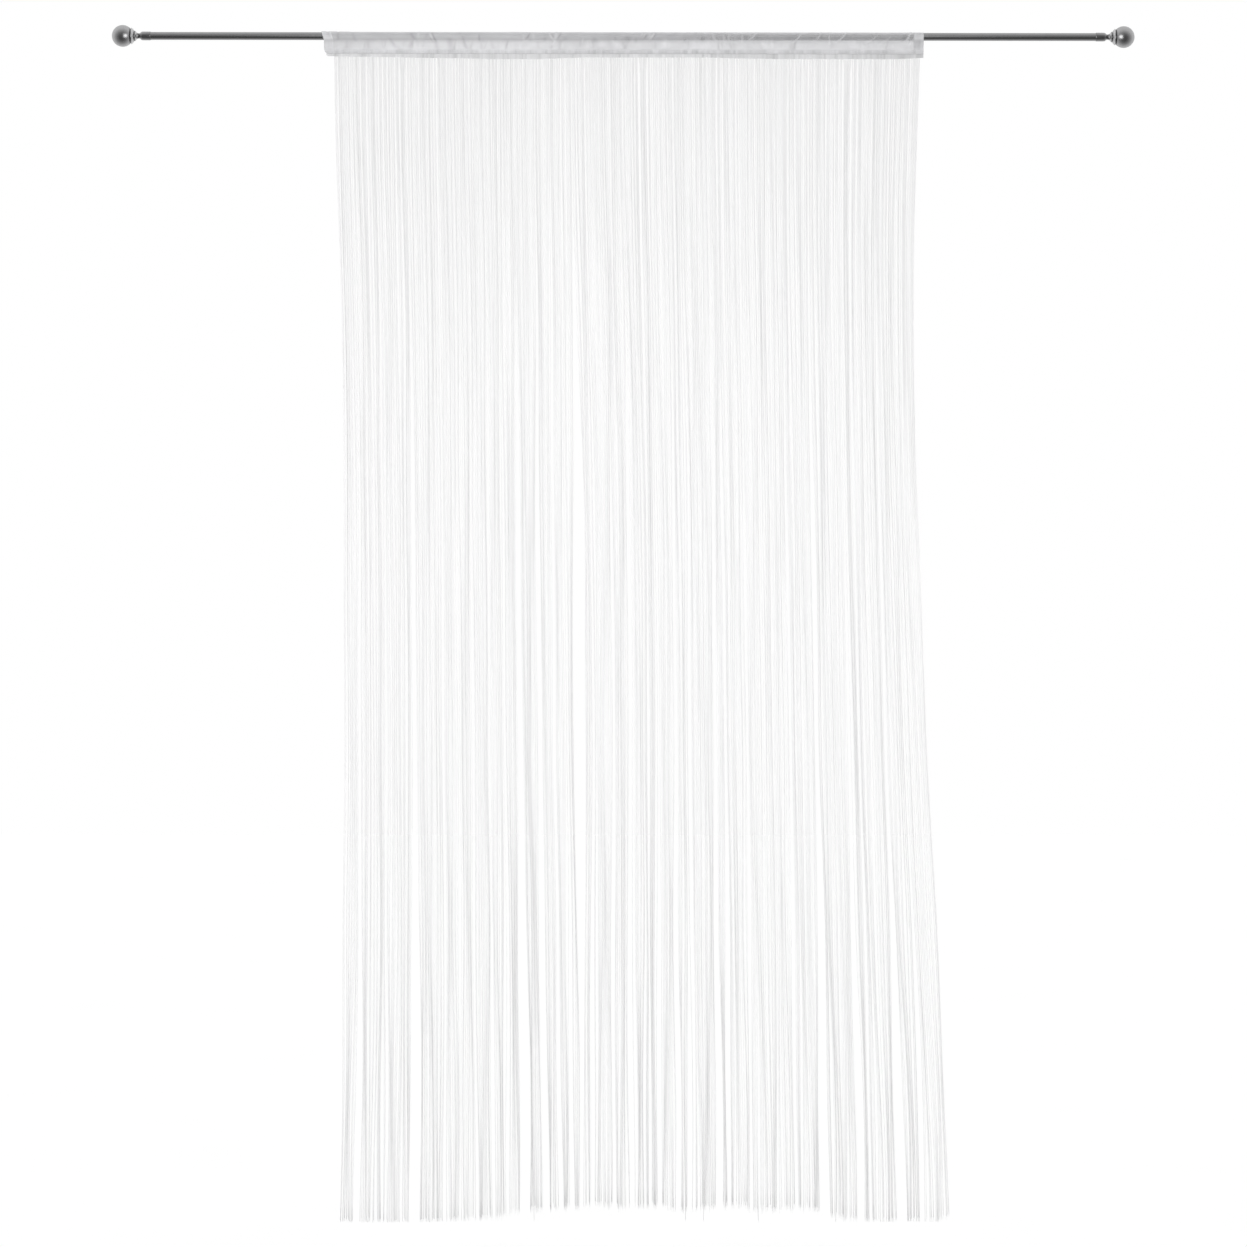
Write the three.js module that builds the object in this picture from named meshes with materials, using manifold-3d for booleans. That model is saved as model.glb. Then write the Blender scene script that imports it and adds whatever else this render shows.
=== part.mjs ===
// A string curtain on a curtain rod: a sewn rod pocket, the tape along its lower edge and the strings that
// hang from the tape, on a round rod with a ball finial at each end.
// Millimetres, +Z up. +X runs along the rod, +Y faces the wall, and the origin is the middle of the rod's axis.
import * as THREE from "three";
import { mergeGeometries, mergeVertices } from "three/addons/utils/BufferGeometryUtils.js";
import Module from "manifold-3d";

const wasm = await Module();
wasm.setup();

// Between pieces that touch
const GAP = 0.3;

// Rod and finials
const ROD_RADIUS = 6.3;
const ROD_WALL = 1;
const BALL_RADIUS = 17.9;
const BALL_AT = 842; // from the middle of the rod to a ball's centre
const SOCKET_FLOOR = 35; // from a ball's centre to the end of the rod in its sleeve
const ROUND_SIDES = 24;
const BALL_STEPS = 9;
const BALL_ENDS = 12.8; // from its centre to the groove behind it

// A finial's outline from its ball towards the rod: distance from the ball's centre, and radius
const FINIAL_OUTLINE = [
  { along: 13.6, radius: 11.3 }, // groove behind the ball
  { along: 14.5, radius: 13.2 }, // collar
  { along: 16.0, radius: 13.8 },
  { along: 18.0, radius: 13.8 },
  { along: 19.4, radius: 12.9 },
  { along: 20.0, radius: 8.4 }, // second groove
  { along: 20.9, radius: 7.8 },
  { along: 22.0, radius: 8.5 }, // small bead
  { along: 23.4, radius: 8.1 },
  { along: 24.8, radius: 6.2 },
  { along: 26.6, radius: 4.9 }, // neck
  { along: 29.0, radius: 4.9 },
  { along: 31.0, radius: 5.9 }, // flare
  { along: 32.8, radius: 7.1 },
  { along: 34.0, radius: 7.3 }, // sleeve over the rod's end
  { along: 45.6, radius: 7.3 },
  { along: 47.0, radius: 6.9 },
];

// Rod pocket: two layers of one cloth that meet at a seam below the rod
const CLOTH = 1.3; // thickness
const POCKET_SLACK = 0.8; // between the rod and the cloth over it
const SEAM_TOP = -22.7;
const POCKET_FOOT = -29.2;
const ARC_STEPS = 4;
const ARC_END = THREE.MathUtils.degToRad(107); // where each layer leaves its curve over the rod
const POCKET_LEFT = { at: -503, lean: 6.5 };
const POCKET_RIGHT = { at: 504.5, lean: 0 };

// The pocket's creases: place along the rod, how far each leans to the right on its way down past the rod,
// and how far it stands out. A trough has a negative height.
const CREASES = [
  { at: -494, lean: 5, height: -0.4 },
  { at: -453, lean: 2, height: -0.3 },
  { at: -382, lean: 5, height: -0.5 },
  { at: -353, lean: 6, height: -0.5 },
  { at: -319, lean: 4, height: -0.5 },
  { at: -268, lean: 5, height: -0.4 },
  { at: -187, lean: 0, height: 0.5 },
  { at: -160, lean: -5, height: -0.5 },
  { at: -119, lean: 2, height: 0.8 },
  { at: -108, lean: -4, height: -0.5 },
  { at: -73, lean: 0, height: 0.7 },
  { at: 34, lean: -6, height: 0.6 },
  { at: 50, lean: -5, height: -0.4 },
  { at: 149, lean: -2, height: 0.6 },
  { at: 174, lean: -2, height: -0.4 },
  { at: 200, lean: 0, height: 0.5 },
  { at: 220, lean: -7, height: 0.9 },
  { at: 297, lean: -6, height: 0.9 },
  { at: 329, lean: -7, height: 0.8 },
  { at: 346, lean: 0, height: 0.5 },
  { at: 372, lean: -7, height: 0.9 },
  { at: 421, lean: -7, height: 0.8 },
  { at: 446, lean: -7, height: 0.6 },
  { at: 479, lean: -7, height: 0.9 },
];
const CREASE_REACH = 6;
const CREASE_ROOM = 4.5; // the least distance between two sections of the pocket
const TOP_SHARE = 0.5; // of a crease's height that shows over the rod
const LOWER_SHARE = 0.6; // halfway down to the seam
const BACK_SHARE = 0.6; // at the back

// Tape along the pocket's lower edge, which the strings are knitted into
const TAPE = { left: -499.5, right: 504.5, top: POCKET_FOOT - GAP, foot: -35.7, thick: 2.4, corner: 3 };

// Strings
const STRING_COUNT = 294;
const STRING_SIDE = 1.9; // of the three-sided section
const ROOTS = { left: -484, right: 495 };
const ROOT_DEPTH = 1.5; // inside the tape
const FOOT = 1991.6; // the longest string's drop below the rod's axis
const RINGS = [300, 760, 1340]; // drops of a string's sections between its root and its end

// How the curtain's outline drifts: at each drop, where the outermost strings hang and how far those in the
// middle have moved to the right
const OUTLINE = [
  { drop: 36, left: -484, middle: 0, right: 495 },
  { drop: 240, left: -479, middle: 2, right: 489 },
  { drop: 440, left: -472, middle: 4, right: 485 },
  { drop: 850, left: -467, middle: 9, right: 495 },
  { drop: 1250, left: -466, middle: 12, right: 512 },
  { drop: 1620, left: -469, middle: 16, right: 528 },
  { drop: FOOT, left: -476, middle: 19, right: 545 },
];
const EDGE_REACH = 70;

// Gaps that open as the strings gather into bundles: place and width at the foot, and the drop where each
// starts
const OPENINGS = [
  { at: -446, wide: 9, from: 700 },
  { at: -423, wide: 3, from: 900 },
  { at: -397, wide: 3, from: 800 },
  { at: -348, wide: 15, from: 150 },
  { at: -297, wide: 4, from: 500 },
  { at: -270, wide: 5, from: 700 },
  { at: -244, wide: 5, from: 500 },
  { at: -216, wide: 5, from: 400 },
  { at: -189, wide: 7, from: 500 },
  { at: -162, wide: 16, from: 250 },
  { at: -121, wide: 7, from: 200 },
  { at: -98, wide: 6, from: 300 },
  { at: -84, wide: 10, from: 500 },
  { at: -67, wide: 6, from: 200 },
  { at: -49, wide: 12, from: 350 },
  { at: -11, wide: 7, from: 600 },
  { at: 12, wide: 10, from: 200 },
  { at: 39, wide: 5, from: 600 },
  { at: 61, wide: 7, from: 250 },
  { at: 91, wide: 11, from: 250 },
  { at: 115, wide: 10, from: 300 },
  { at: 148, wide: 6, from: 250 },
  { at: 160, wide: 8, from: 600 },
  { at: 177, wide: 7, from: 500 },
  { at: 214, wide: 5, from: 300 },
  { at: 249, wide: 4, from: 700 },
  { at: 279, wide: 5, from: 250 },
  { at: 325, wide: 5, from: 250 },
  { at: 340, wide: 8, from: 400 },
  { at: 381, wide: 4, from: 800 },
  { at: 396, wide: 8, from: 600 },
  { at: 433, wide: 4, from: 700 },
  { at: 464, wide: 12, from: 250 },
  { at: 503, wide: 6, from: 900 },
];
const OPENS_OVER = 900; // a gap is fully open this far below its start
const BUNDLE_REACH = 11;
const PAIR_PULL = 0.5; // how far each string leans to its partner at the foot

// Depth: the strings settle into lanes behind one another, and the lower part sways a little
const LANES = 3;
const LANE_STEP = 2.9;
const LANES_OPEN_BY = 300;
const ROOT_UNEVEN = 0.3; // how far a root sits in front of or behind the tape's middle
const SWAY = { depth: 6, length: 340 };

// How far the strings' ends stand above the longest one, across the curtain, and how uneven they are
const ENDS = [
  { at: -480, rise: 2 },
  { at: -290, rise: 4 },
  { at: -190, rise: 14 },
  { at: -100, rise: 24 },
  { at: 60, rise: 27 },
  { at: 320, rise: 24 },
  { at: 370, rise: 8 },
  { at: 550, rise: 4 },
];
const UNEVEN = 7;
const LONG_ONE_IN = 13; // every such string hangs to the full length

// Finishes
const STEEL = { color: 0x7d7e82, roughness: 0.38, metalness: 0.9 };
const NICKEL = { color: 0x9b9b9d, roughness: 0.32, metalness: 0.95 };
const SHEER = { color: 0xececee, roughness: 0.9, metalness: 0 };
const YARN = { color: 0xf2f2f0, roughness: 0.95, metalness: 0 };

// Numbers from 0 to 1 that are the same every time
function randomFrom(seed) {
  let state = seed;
  return () => {
    state = (state + 0x6d2b79f5) | 0;
    let mixed = Math.imul(state ^ (state >>> 15), 1 | state);
    mixed = (mixed + Math.imul(mixed ^ (mixed >>> 7), 61 | mixed)) ^ mixed;
    return ((mixed ^ (mixed >>> 14)) >>> 0) / 4294967296;
  };
}

// A table's column at a place between its rows
function between(table, key, value, column) {
  const after = Math.max(1, table.findIndex((row) => row[key] >= value));
  const [low, high] = [table[after - 1], table[after]];
  const share = THREE.MathUtils.clamp((value - low[key]) / (high[key] - low[key]), 0, 1);
  return THREE.MathUtils.lerp(low[column], high[column], share);
}

// A closed body over rings of points. Seen from the last ring, each ring runs clockwise.
function loft(rings) {
  const count = rings[0].length;
  const last = (rings.length - 1) * count;
  const index = [];
  for (let start = 0; start < last; start += count)
    for (let j = 0; j < count; j++) {
      const next = (j + 1) % count;
      index.push(start + j, start + count + j, start + count + next);
      index.push(start + j, start + count + next, start + next);
    }
  for (let j = 1; j + 1 < count; j++) {
    index.push(0, j, j + 1);
    index.push(last, last + j + 1, last + j);
  }
  return new THREE.BufferGeometry().setFromPoints(rings.flat()).setIndex(index);
}

// A geometry as a solid that can be joined and cut
function solidOf(geometry) {
  const bare = geometry.clone();
  bare.deleteAttribute("normal");
  bare.deleteAttribute("uv");
  const merged = mergeVertices(bare);
  return new wasm.Manifold(
    new wasm.Mesh({
      numProp: 3,
      vertProperties: merged.attributes.position.array,
      triVerts: new Uint32Array(merged.index.array),
    }),
  );
}

// A joined or cut solid as a geometry
function geometryOf(solid) {
  const mesh = solid.getMesh();
  const geometry = new THREE.BufferGeometry();
  geometry.setAttribute("position", new THREE.BufferAttribute(mesh.vertProperties, 3));
  geometry.setIndex(new THREE.BufferAttribute(mesh.triVerts, 1));
  geometry.computeVertexNormals();
  return geometry;
}

function meshOf(name, geometry, finish) {
  const mesh = new THREE.Mesh(geometry, new THREE.MeshStandardMaterial(finish));
  mesh.name = name;
  return mesh;
}

// The rod: a round tube that ends inside each finial's sleeve
function rod() {
  const half = BALL_AT - SOCKET_FLOOR - GAP;
  const inner = ROD_RADIUS - ROD_WALL;
  const wall = [
    new THREE.Vector2(ROD_RADIUS, -half),
    new THREE.Vector2(ROD_RADIUS, half),
    new THREE.Vector2(inner, half),
    new THREE.Vector2(inner, -half),
    new THREE.Vector2(ROD_RADIUS, -half),
  ];
  const mesh = meshOf("rod_tube", new THREE.LatheGeometry(wall, ROUND_SIDES), STEEL);
  mesh.rotation.z = Math.PI / 2;
  return mesh;
}

// A finial turned in one piece: ball, collar, bead, neck and the sleeve that the rod's end goes into
function finial(name, side) {
  const outline = [];
  const whole = Math.acos(-BALL_ENDS / BALL_RADIUS);
  for (let i = 0; i <= BALL_STEPS; i++) {
    const turn = (whole * i) / BALL_STEPS;
    outline.push(new THREE.Vector2(BALL_RADIUS * Math.sin(turn), -BALL_RADIUS * Math.cos(turn)));
  }
  outline[0].x = 0;
  for (const { along, radius } of FINIAL_OUTLINE) outline.push(new THREE.Vector2(radius, along));
  const mouth = FINIAL_OUTLINE.at(-1).along;
  const bore = ROD_RADIUS + GAP;
  outline.push(new THREE.Vector2(bore, mouth));
  outline.push(new THREE.Vector2(bore, SOCKET_FLOOR));
  outline.push(new THREE.Vector2(0, SOCKET_FLOOR));
  const mesh = meshOf(name, new THREE.LatheGeometry(outline, ROUND_SIDES), NICKEL);
  mesh.position.x = side * BALL_AT;
  mesh.rotation.z = (side * Math.PI) / 2;
  return mesh;
}

// The pocket's sections along the rod: one at each crease, and one on each side of it where there is room
function pocketSections() {
  const kept = [{ ...POCKET_LEFT, height: 0 }, { ...POCKET_RIGHT, height: 0 }, ...CREASES];
  for (const { at, lean } of CREASES)
    for (const side of [-1, 1]) {
      const shoulder = { at: at + side * CREASE_REACH, lean, height: 0 };
      const fits = kept.every((other) => {
        const above = shoulder.at - lean / 2 - other.at + other.lean / 2;
        const below = shoulder.at + lean / 2 - other.at - other.lean / 2;
        return above * below > 0 && Math.min(Math.abs(above), Math.abs(below)) > CREASE_ROOM;
      });
      if (fits && shoulder.at > POCKET_LEFT.at && shoulder.at < POCKET_RIGHT.at) kept.push(shoulder);
    }
  return kept.sort((a, b) => a.at - b.at);
}

// One side of a section, from above the rod down to the foot: each point has its distance from the middle
// plane, its height and the share of a crease that it takes
function layer(radius, ends) {
  const points = [];
  for (let i = 0; i <= ARC_STEPS; i++) {
    const turn = (ARC_END * i) / ARC_STEPS;
    points.push({
      out: Math.sin(turn),
      up: Math.cos(turn),
      y: radius * Math.sin(turn),
      z: radius * Math.cos(turn),
      share: TOP_SHARE + (1 - TOP_SHARE) * Math.sin(turn),
    });
  }
  const last = points.at(-1);
  const seam = ends[0];
  const lower = { y: (last.y + seam.y) / 2, z: (last.z + seam.z) / 2 };
  points.push({ out: 1, up: 0, ...lower, share: LOWER_SHARE });
  for (const end of ends) points.push({ out: 0, up: 0, ...end, share: 0 });
  return points;
}

// A ring of the pocket's section, down the back and up the front, with its crease and its lean
function pocketRing({ at, lean, height }, points) {
  const back = points.map((point) => ({ ...point, side: 1, rise: height * BACK_SHARE }));
  const front = points
    .filter((point) => point.y > 0)
    .reverse()
    .map((point) => ({ ...point, side: -1, rise: height }));
  return [...back, ...front].map(({ y, z, out, up, share, side, rise }) => {
    const down = THREE.MathUtils.clamp(-z / (2 * ROD_RADIUS), -0.5, 0.5);
    return new THREE.Vector3(
      at + lean * down,
      side * (y + out * share * rise),
      z + up * share * rise,
    );
  });
}

// The rod pocket: its outer shape less the space inside, which runs past both ends
function pocket() {
  const inner = ROD_RADIUS + POCKET_SLACK;
  const outside = layer(inner + CLOTH, [
    { y: CLOTH, z: SEAM_TOP },
    { y: CLOTH, z: POCKET_FOOT },
  ]);
  const inside = layer(inner, [{ y: 0, z: SEAM_TOP + CLOTH }]);
  const sections = pocketSections();
  const longer = sections.map((section) => ({ ...section }));
  longer[0].at -= CREASE_REACH;
  longer.at(-1).at += CREASE_REACH;
  const outer = solidOf(loft(sections.map((section) => pocketRing(section, outside))));
  const space = solidOf(loft(longer.map((section) => pocketRing(section, inside))));
  return meshOf("header", geometryOf(outer.subtract(space)), SHEER);
}

// Where a string hangs across the curtain, before it gathers: its root moves with the curtain's outline
function hang(root, drop) {
  const [left, middle, right] = ["left", "middle", "right"].map((column) =>
    between(OUTLINE, "drop", drop, column),
  );
  const nearLeft = Math.exp((ROOTS.left - root) / EDGE_REACH);
  const nearRight = Math.exp((root - ROOTS.right) / EDGE_REACH);
  return (
    root +
    middle +
    (left - ROOTS.left - middle) * nearLeft +
    (right - ROOTS.right - middle) * nearRight
  );
}

// The same with the bundles: each gap pushes the strings beside it apart
function gathered(root, drop) {
  const atFoot = hang(root, FOOT);
  return OPENINGS.reduce((place, { at, wide, from }) => {
    const open = THREE.MathUtils.smoothstep(drop, from, from + OPENS_OVER);
    const away = atFoot - at;
    const push = Math.sign(away) * Math.exp(-Math.abs(away) / BUNDLE_REACH);
    return place + (wide / 2) * open * push;
  }, hang(root, drop));
}

// A string's place in depth at a drop
function depth(lane, root, drop) {
  const opened = THREE.MathUtils.smoothstep(drop, -TAPE.foot, LANES_OPEN_BY);
  const lower = (drop / FOOT) ** 2;
  return (
    (lane - (LANES - 1) / 2) * LANE_STEP * opened +
    SWAY.depth * lower * Math.sin((2 * Math.PI * root) / SWAY.length)
  );
}

// One string: a three-sided strand from inside the tape to its end, with a flat side to the front
function string(order, random) {
  const root = THREE.MathUtils.lerp(ROOTS.left, ROOTS.right, order / (STRING_COUNT - 1));
  const atFoot = gathered(root, FOOT);
  const rise = between(ENDS, "at", atFoot, "rise") + UNEVEN * random();
  const end = order % LONG_ONE_IN ? FOOT - rise : FOOT;
  const toPartner = order % 2 ? -PAIR_PULL : PAIR_PULL;
  const sits = ROOT_UNEVEN * (2 * random() - 1);
  const rings = [-TAPE.foot - ROOT_DEPTH, ...RINGS, end].map((drop) => {
    const x = gathered(root, drop) + (toPartner * drop) / FOOT;
    const y = sits + depth(order % LANES, root, drop);
    return [Math.PI / 2, (7 * Math.PI) / 6, (11 * Math.PI) / 6].map((turn) => {
      const radius = STRING_SIDE / Math.sqrt(3);
      return new THREE.Vector3(x + radius * Math.cos(turn), y + radius * Math.sin(turn), -drop);
    });
  });
  return loft(rings);
}

// The tape with a rounded lower corner on the left
function tape() {
  const { left, right, top, foot, thick, corner } = TAPE;
  const face = new THREE.Shape();
  face.moveTo(left, top);
  face.lineTo(left, foot + corner);
  face.quadraticCurveTo(left, foot, left + corner, foot);
  face.lineTo(right, foot);
  face.lineTo(right, top);
  face.closePath();
  const strip = new THREE.ExtrudeGeometry(face, { depth: thick, bevelEnabled: false, curveSegments: 4 });
  strip.rotateX(Math.PI / 2);
  strip.translate(0, thick / 2, 0);
  return strip;
}

// The tape and every string, which are one piece of knitting
function strings() {
  const random = randomFrom(7);
  const strands = Array.from({ length: STRING_COUNT }, (_, order) => string(order, random));
  const joined = solidOf(tape()).add(solidOf(mergeGeometries(strands)));
  return meshOf("strings", geometryOf(joined), YARN);
}

const curtain = new THREE.Group();
curtain.add(rod(), finial("finial_left", -1), finial("finial_right", 1), pocket(), strings());

export default curtain;
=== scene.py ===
"""The looks of a string curtain on a curtain rod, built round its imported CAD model.

Metres, +Z up, +X along the rod to the right, +Y towards the wall. The origin is the middle of the rod's axis.
"""

import math

import bpy
import numpy as np
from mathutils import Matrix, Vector


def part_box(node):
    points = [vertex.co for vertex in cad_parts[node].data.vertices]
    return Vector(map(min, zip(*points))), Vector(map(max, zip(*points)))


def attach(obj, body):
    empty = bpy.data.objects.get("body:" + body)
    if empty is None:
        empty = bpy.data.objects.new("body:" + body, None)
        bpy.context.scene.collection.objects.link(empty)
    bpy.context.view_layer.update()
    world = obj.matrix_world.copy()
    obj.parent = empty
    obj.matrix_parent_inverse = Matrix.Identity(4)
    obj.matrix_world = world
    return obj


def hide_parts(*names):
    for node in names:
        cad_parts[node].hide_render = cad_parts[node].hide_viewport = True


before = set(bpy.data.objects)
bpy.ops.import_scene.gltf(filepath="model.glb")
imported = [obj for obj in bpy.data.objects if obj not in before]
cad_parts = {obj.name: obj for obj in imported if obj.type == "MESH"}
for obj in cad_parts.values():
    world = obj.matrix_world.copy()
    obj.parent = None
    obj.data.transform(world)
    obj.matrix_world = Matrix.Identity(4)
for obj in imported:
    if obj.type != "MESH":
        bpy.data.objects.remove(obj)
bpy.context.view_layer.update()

MM = 0.001
BODY = "root"

# The photograph's frame: its scale at the curtain, and the rod's axis in it
PHOTO_SIDE = 1247
PHOTO_MM = 1.68
ROD_ROW = 36.5
CAMERA_RIGHT = 0.3  # of the rod's middle, in the photograph's pixels
CAMERA_AWAY = 7.0
CAMERA_TURN = -0.0012  # radians about the line of sight

# Rod and finials
ROD_RADIUS = 6.6 * MM
ROD_WALL = 1.0 * MM
ROD_EASE = 0.3 * MM  # the rounding of its ends
BALL_RADIUS = 18.2 * MM
BALL_INWARDS = 0.9 * MM
BALL_END = 12.8 * MM
BALL_START = 0.02  # radians from the axis
BALL_STEPS = 40
SLEEVE_BORE = 6.8 * MM
SLEEVE_END = 47.0 * MM  # from the ball's centre
BORE_BOTTOM = 34.0 * MM
BORE_MIDDLE = 0.4 * MM
ROUND_SIDES = 96

# A finial's outline past its ball, in millimetres: distance from the ball's centre, radius
GROOVE = [(12.9, 12.6), (13.1, 11.6), (13.4, 11.4), (13.8, 12.3)]
COLLAR = [(13.8, 12.3), (14.2, 13.2), (14.8, 13.6), (15.8, 13.1), (16.8, 12.1), (17.8, 11.0), (18.5, 10.0)]
BEAD = [(18.8, 9.0), (19.2, 8.5), (19.8, 8.6), (20.5, 8.8), (21.3, 8.4), (22.2, 7.3), (23.2, 5.9)]
NECK = [(23.2, 5.9), (24.4, 5.2), (25.6, 4.6), (26.8, 4.3), (28.2, 4.3)]
FLARE = [(28.2, 4.3), (29.4, 5.0), (30.6, 6.1), (31.8, 6.9), (33.0, 7.2)]
SLEEVE = [(33.0, 7.2), (34.5, 7.3), (45.6, 7.3), (46.6, 7.15), (47.0, 6.95)]

# Where a finial is painted darker or lighter: painted shade in its two grooves, its neck and the sleeve's
# end, painted reflections on the collar's and the bead's flanks, and a darker sleeve. In millimetres:
# distance from the ball's centre, half width, change
PAINTED_LIGHT_AND_SHADE_RINGS = [
    (13.0, 1.1, -0.4),
    (16.6, 1.4, 0.4),
    (20.2, 1.0, -0.55),
    (22.4, 1.2, 0.35),
    (27.0, 2.2, -0.6),
    (40.5, 9.0, -0.3),
    (47.3, 1.2, -0.4),
]

# Pocket: the middle of its cloth over the rod, and the seam where its two layers meet
CLOTH = 0.5 * MM
CLOTH_RADIUS = 7.5 * MM
CLOTH_ON_ROD = 6.88 * MM
CLOTH_LEAVES_ROD = (0.5, 1.8)  # radians from the top, where it starts and ends
ARC_END = math.radians(107)
SEAM_TOP = -22.7 * MM
POCKET_FOOT = -29.2 * MM
SEAM_HALF = 0.75 * MM
POCKET_LEFT = (-504.6 * MM, 4.5 * MM)  # place and lean
POCKET_RIGHT = (504.5 * MM, 0.0)
CORNER_TOP = -20 * MM  # where the lower left corner starts to round off
CORNER_WIDTH = 6 * MM
CORNER_ROUND = 0.98
POCKET_STEPS = 800
ARC_STEPS = 31
SEAM_STEPS = 4
FRONT_STEPS = 11
BACK_STEPS = 8

# Folds and dents in the pocket's front, in millimetres: place at the rod's axis, move to the right for each
# millimetre down, half its width, height above the axis where it starts and ends, and how far it stands out
FOLDS = [
    (-494, 0.5, 2.2, 8, -6, -0.6),
    (-479, 0.0, 1.8, 8, -7, -0.5),
    (-453, 0.3, 2.4, 7, -8, -0.35),
    (-394, 0.45, 3.2, -4, -29, -0.35),
    (-354, 0.6, 2.6, 5, -7, -0.6),
    (-346, -0.7, 1.3, 10, 4, 0.6),
    (-344, 0.0, 2.0, 4, -3, 0.35),
    (-330, -0.4, 2.6, 4, -3, -0.45),
    (-326, 0.5, 1.6, -3, -9, -0.4),
    (-323, 0.4, 1.3, 6, -6, 0.5),
    (-319, 0.4, 1.3, 6, -8, -0.8),
    (-316, 0.1, 3.0, -8, -28, -0.25),
    (-292, 0.1, 4.5, -4, -28, -0.35),
    (-270, 0.2, 2.4, -2, -27, -0.4),
    (-242, 0.0, 1.3, 1, -8, -0.7),
    (-187, 0.0, 6.0, 12, 5, 0.3),
    (-167, 0.0, 2.0, 0, -6, 0.35),
    (-159, -0.6, 1.6, 5, -5, -0.8),
    (-156, 0.0, 4.0, -4, -9, -0.4),
    (-151, 0.0, 2.5, 2, -4, 0.4),
    (-131, 0.0, 3.6, -3, -9, -0.4),
    (-122, 0.6, 1.3, 5, -8, 0.6),
    (-118, 0.4, 1.4, 3, -3, -0.6),
    (-113, -0.2, 2.2, 8, -14, 0.6),
    (-107, -0.6, 1.6, 6, -4, -0.7),
    (-98, 0.0, 4.0, -3, -9, -0.4),
    (-72, 0.0, 3.5, 12, 5, 0.4),
    (-68, 0.0, 1.3, -5, -9, 0.4),
    (-59, 0.0, 4.5, -8, -20, 0.35),
    (-48, 0.0, 4.0, -4, -10, -0.35),
    (-36, 0.0, 6.0, -7, -18, 0.35),
    (-18, 0.3, 5.0, -8, -24, 0.4),
    (-14, 0.0, 2.5, -2, -8, -0.35),
    (8, 0.0, 6.0, -1, -9, -0.4),
    (21, 0.0, 2.5, -4, -10, -0.35),
    (30, -0.6, 1.3, 7, 0, 0.5),
    (35, -0.7, 1.3, 7, -1, 0.55),
    (38, -0.5, 1.4, 3, -5, -0.5),
    (44, -0.3, 2.0, 4, -4, 0.4),
    (49, -0.7, 1.4, 7, -5, 0.7),
    (53, -0.5, 1.6, 6, -4, -0.5),
    (70, 0.0, 5.0, -6, -20, 0.4),
    (104, 0.0, 3.0, -3, -10, -0.35),
    (121, 0.0, 7.0, -6, -22, 0.4),
    (133, 0.0, 3.0, -2, -8, -0.35),
    (142, -0.2, 5.0, -7, -22, 0.35),
    (151, 0.4, 1.8, 6, -8, 0.5),
    (169, 0.0, 1.3, 1, -6, 0.4),
    (173, 0.0, 1.8, 2, -5, -0.35),
    (177, 0.0, 1.4, 3, -8, 0.45),
    (200, 0.0, 1.3, 3, -9, 0.5),
    (206, 0.0, 3.0, 0, -6, -0.3),
    (219, -0.85, 1.2, 8, -6, 0.7),
    (226, -0.4, 3.0, 5, -6, -0.35),
    (231, 0.3, 4.0, -8, -24, 0.35),
    (250, 0.0, 3.0, -8, -22, 0.3),
    (296, -0.75, 1.7, 5, -9, 0.6),
    (329, -0.75, 1.6, 8, -8, 0.5),
    (333, 0.0, 2.5, 2, -5, -0.4),
    (346, 0.0, 1.3, 7, -12, 0.45),
    (370, -0.9, 1.4, 8, -8, 0.8),
    (375, -0.6, 1.6, 5, -1, -0.5),
    (385, 0.0, 6.0, -8, -20, 0.25),
    (425, -1.1, 1.7, 1, -10, 0.45),
    (450, -1.1, 2.4, -1, -10, 0.3),
    (474, -0.3, 3.0, 4, -6, -0.5),
    (480, -0.5, 1.6, 8, -8, 1.0),
    (489, -0.4, 2.0, -2, -14, 0.4),
    (496, 0.0, 3.0, 6, -20, -0.3),
]
FOLD_BEND = 0.035  # how much more a fold leans for each millimetre down
FOLD_SPREAD = 0.04  # how much wider it gets

# The back's folds, as shares of the front's, and how far to the left they lie, in millimetres
BACK_FROM = 2  # behind the axis
BACK_PLACE = 0.93
BACK_LEFT = 11
BACK_WIDTH = 1.4
BACK_HEIGHT = 0.6

# Waves along the loose cloth, in millimetres: length, height
WAVES = [(83, 0.14), (37, 0.1), (19, 0.07)]
HEM_STANDS = 0.9  # how far the stiff hem stands off the rod at the left
RELIEF_LIMITS = (-0.75, 1.2)
ROD_GAP = 0.3

# Small puckers that rise from the seam, in millimetres: how many, and the least and the most of each one's
# place, half width, height and lean
PUCKERS = (170, (-500, 1.3, -0.4, -0.4), (500, 4, 0.4, 0.4))

# Small marks on the pocket's seam, which are painted shade where its gathered cloth bunches, and on the tape,
# in millimetres: how many, and the least and the most of each one's place, half width and, but for the
# breaks, darkness
SEAM_PATCHES = (150, (-390, 0.8, 0.2), (500, 6.5, 1))
PATCH_BREAKS = (60, (-480, 0.6), (500, 1.1))
SEAM_FLECKS = (270, (-498, 1.0, -0.5), (502, 2.2, 1))
TAPE_CLOUDS = (120, (-500, 1.5, 0.01), (500, 9, 0.06))
TAPE_FLECKS = (320, (-500, 0.9, -0.06), (500, 2.0, 0.1))

# How much of the view the cloth covers: single, with its folds, and doubled at its hems and its seam
COVER = 0.415
COVER_RAISED = 0.32
COVER_SUNKEN = 0.1
COVER_HEM = 0.66
COVER_SEAM = 0.6
HEM = 17.0  # millimetres of doubled cloth at each end

# How much more it covers towards the top of the rod, in millimetres: start, end, change
COVER_ON_TOP = [
    (1, 4, 0.06),
    (4.2, 6.2, 0.11),
]

# How much painted shade the folds, the rod, the seam's patches and flecks and the right hem put on the cloth,
# and how much painted light its top gets
FOLD_SHADE = 0.3
UNDER_ROD_SHADE = 0.15
PATCH_SHADE = (0.08, 0.06)  # at the left, and more to the right of the middle
FLECK_SHADE = 0.13
TOP_LIGHT = 0.17
RIGHT_HEM_SHADE = 0.08

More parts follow.
